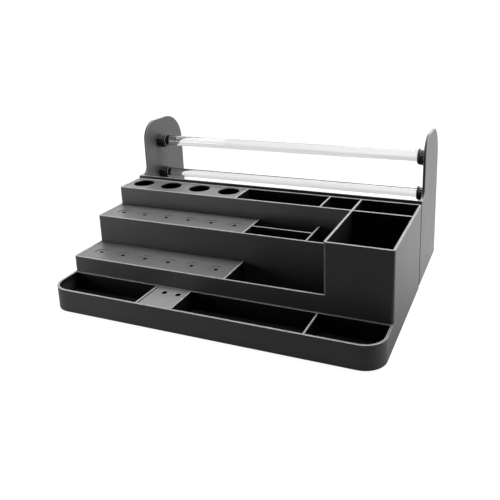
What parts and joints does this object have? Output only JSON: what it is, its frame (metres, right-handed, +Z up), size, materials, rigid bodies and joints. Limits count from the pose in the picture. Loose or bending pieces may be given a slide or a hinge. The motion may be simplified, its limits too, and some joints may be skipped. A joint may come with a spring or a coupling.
{
  "type": "hobby workstation organizer",
  "caption": "Stepped bench organizer with tray bins, three tool racks, tall bins and a rear frame that carries clear rods for wire spools.",
  "frame": {"origin": "centre of the whole object's footprint, on the bench under the rubber feet", "axes": "+X to the right along the steps, +Y to the rear frame, +Z up"},
  "size_m": [0.36, 0.285, 0.1666],
  "materials": {
    "body_plastic": "fine matt moulded texture, charcoal",
    "plate_plastic": "fine matt moulded texture, charcoal, a little lighter",
    "collar_plastic": "smooth black",
    "clear_rod": "clear polished acrylic",
    "foot_rubber": "matt black",
    "screw_steel": "dark zinc"
  },
  "bodies": {
    "base": {"main_body": "body_plastic", "rear_frame": "body_plastic", "frame_screws": "screw_steel", "upper_left_cup": "collar_plastic", "upper_right_cup": "collar_plastic", "lower_left_cup": "collar_plastic", "lower_right_cup": "collar_plastic", "front_left_foot": "foot_rubber", "front_right_foot": "foot_rubber", "middle_left_foot": "foot_rubber", "middle_right_foot": "foot_rubber", "rear_left_foot": "foot_rubber", "rear_right_foot": "foot_rubber"},
    "lower_rack_plate": {"lower_rack_plate": "plate_plastic"},
    "upper_rack_plate": {"upper_rack_plate": "plate_plastic"},
    "rear_rack_plate": {"rear_rack_plate": "plate_plastic"},
    "tray_plate": {"tray_plate": "plate_plastic"},
    "upper_bushes": {"upper_left_bush": "collar_plastic", "upper_right_bush": "collar_plastic"},
    "lower_bushes": {"lower_left_bush": "collar_plastic", "lower_right_bush": "collar_plastic"},
    "upper_rod": {"upper_rod": "clear_rod"},
    "lower_rod": {"lower_rod": "clear_rod"}
  },
  "joints": [
    {"name": "lower_rack_lift", "type": "slide", "parent": "base", "child": "lower_rack_plate", "axis": [0, 0, 1], "range_m": [0, 0.03]},
    {"name": "upper_rack_lift", "type": "slide", "parent": "base", "child": "upper_rack_plate", "axis": [0, 0, 1], "range_m": [0, 0.03]},
    {"name": "rear_rack_lift", "type": "slide", "parent": "base", "child": "rear_rack_plate", "axis": [0, 0, 1], "range_m": [0, 0.03]},
    {"name": "tray_plate_lift", "type": "slide", "parent": "base", "child": "tray_plate", "axis": [0, 0, 1], "range_m": [0, 0.015]},
    {"name": "upper_rod_lift", "type": "slide", "parent": "base", "child": "upper_bushes", "axis": [0, 0, 1], "range_m": [0, 0.03]},
    {"name": "lower_rod_lift", "type": "slide", "parent": "base", "child": "lower_bushes", "axis": [0, 0, 1], "range_m": [0, 0.02]},
    {"name": "upper_rod_spin", "type": "hinge", "parent": "upper_bushes", "child": "upper_rod", "pos_m": [0, 0.0885, 0.1376], "axis": [1, 0, 0], "continuous": true},
    {"name": "lower_rod_spin", "type": "hinge", "parent": "lower_bushes", "child": "lower_rod", "pos_m": [0, 0.0885, 0.0943], "axis": [1, 0, 0], "continuous": true}
  ]
}
